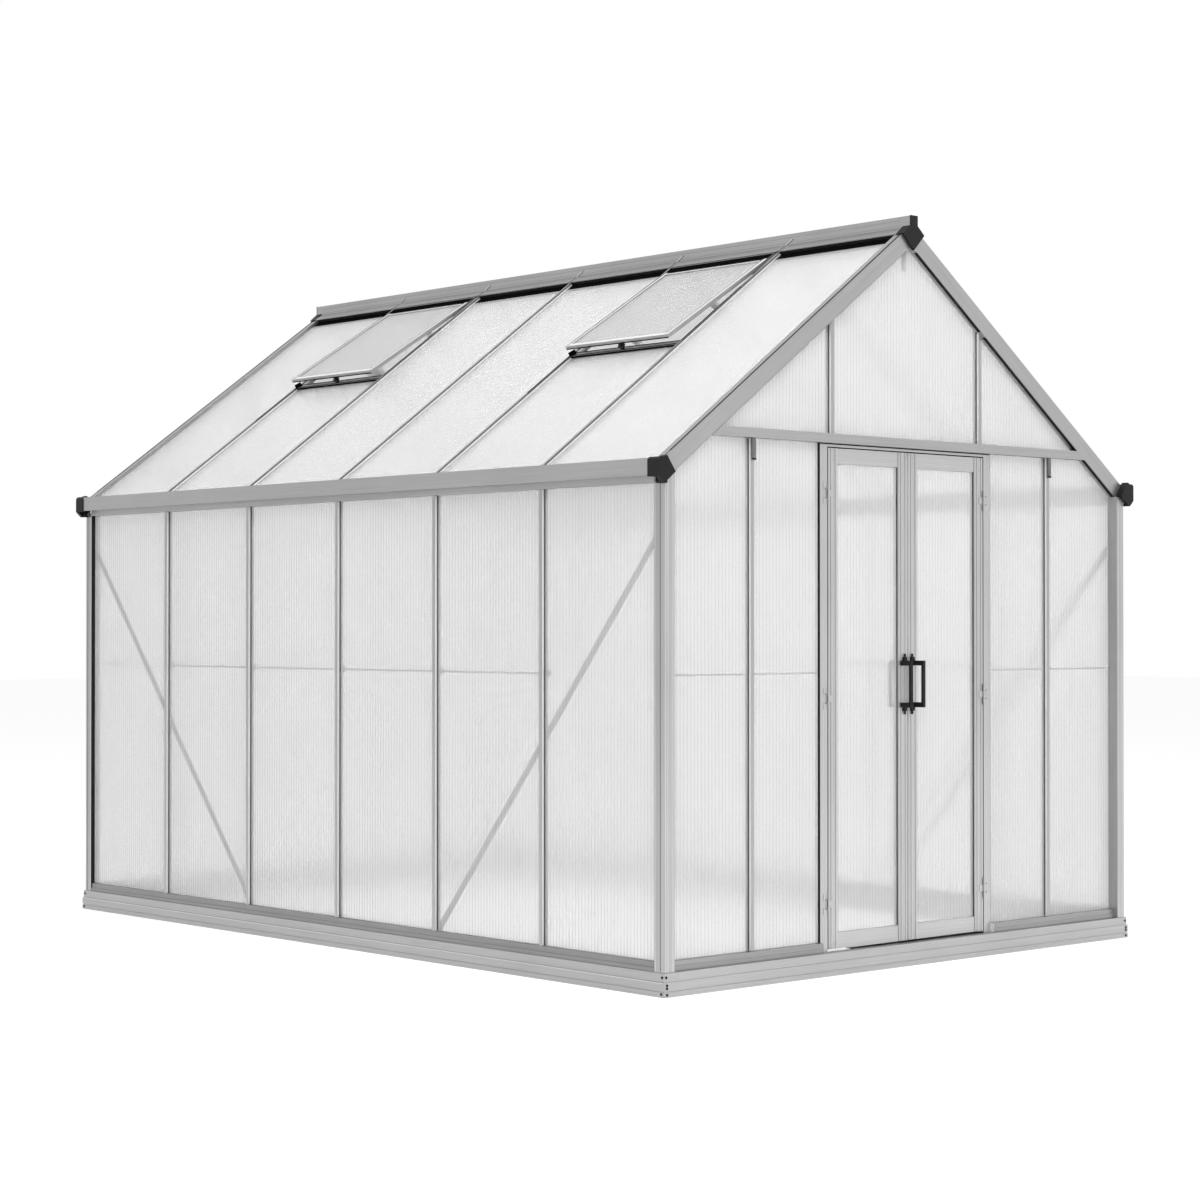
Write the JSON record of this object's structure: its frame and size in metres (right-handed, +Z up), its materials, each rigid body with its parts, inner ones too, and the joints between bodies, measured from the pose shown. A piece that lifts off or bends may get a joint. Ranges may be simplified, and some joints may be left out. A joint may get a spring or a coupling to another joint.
{
  "type": "greenhouse",
  "caption": "Gable-roofed greenhouse with an aluminium frame, translucent ribbed panels, hinged gable doors, eave gutters and propped roof vents.",
  "frame": {"origin": "middle of the footprint at ground level", "axes": "+X across the gable to the right as seen from the door, +Y from the door gable towards the back gable, +Z up"},
  "size_m": [2.582, 3.698, 2.7215],
  "materials": {
    "aluminium_frame": "mill finish, satin, with fine lengthwise lines",
    "clear_sheet": "translucent twin-wall sheet with fine upright ribs",
    "black_plastic": "matte",
    "black_seal": "matte"
  },
  "bodies": {
    "frame": {"base_front": "aluminium_frame", "base_back": "aluminium_frame", "base_left": "aluminium_frame", "base_right": "aluminium_frame", "sill_front": "aluminium_frame", "sill_back": "aluminium_frame", "sill_left": "aluminium_frame", "sill_right": "aluminium_frame", "corner_posts": "aluminium_frame", "wall_bars_left": "aluminium_frame", "wall_bars_right": "aluminium_frame", "mid_rails_side": "aluminium_frame", "mid_rails_gable": "aluminium_frame", "wall_braces": "aluminium_frame", "eave_beam_left": "aluminium_frame", "eave_beam_right": "aluminium_frame", "ridge_beam": "aluminium_frame", "ridge_seals": "black_seal", "ridge_clips": "aluminium_frame", "roof_bars_left": "aluminium_frame", "roof_bars_right": "aluminium_frame", "gable_rafters_front": "aluminium_frame", "gable_rafters_back": "aluminium_frame", "gable_ties": "aluminium_frame", "gable_mullions_front": "aluminium_frame", "gable_mullions_back": "aluminium_frame", "hanger_brackets": "aluminium_frame", "eave_connectors": "black_plastic", "ridge_connectors": "black_plastic", "wall_panels_left": "clear_sheet", "wall_panels_right": "clear_sheet", "roof_panels_left": "clear_sheet", "roof_panels_right": "clear_sheet", "gable_panels_front": "clear_sheet", "gable_panels_back": "clear_sheet", "door_frame": "aluminium_frame", "frame_hinges": "aluminium_frame", "vent_frames": "aluminium_frame", "vent_panels": "clear_sheet", "vent_crossbars": "aluminium_frame", "vent_stays": "black_plastic"},
    "left_door": {"left_leaf_frame": "aluminium_frame", "left_leaf_panel": "clear_sheet", "left_leaf_handles": "black_plastic", "left_leaf_hinges": "aluminium_frame"},
    "right_door": {"right_leaf_frame": "aluminium_frame", "right_leaf_panel": "clear_sheet", "right_leaf_handles": "black_plastic", "right_leaf_hinges": "aluminium_frame"}
  },
  "joints": [
    {"name": "left_door_hinge", "type": "hinge", "parent": "frame", "child": "left_door", "pos_m": [-0.4255, -1.804, 0.973], "axis": [0, 0, -1], "range_deg": [0, 120]},
    {"name": "right_door_hinge", "type": "hinge", "parent": "frame", "child": "right_door", "pos_m": [0.4255, -1.804, 0.973], "axis": [0, 0, 1], "range_deg": [0, 120]}
  ]
}
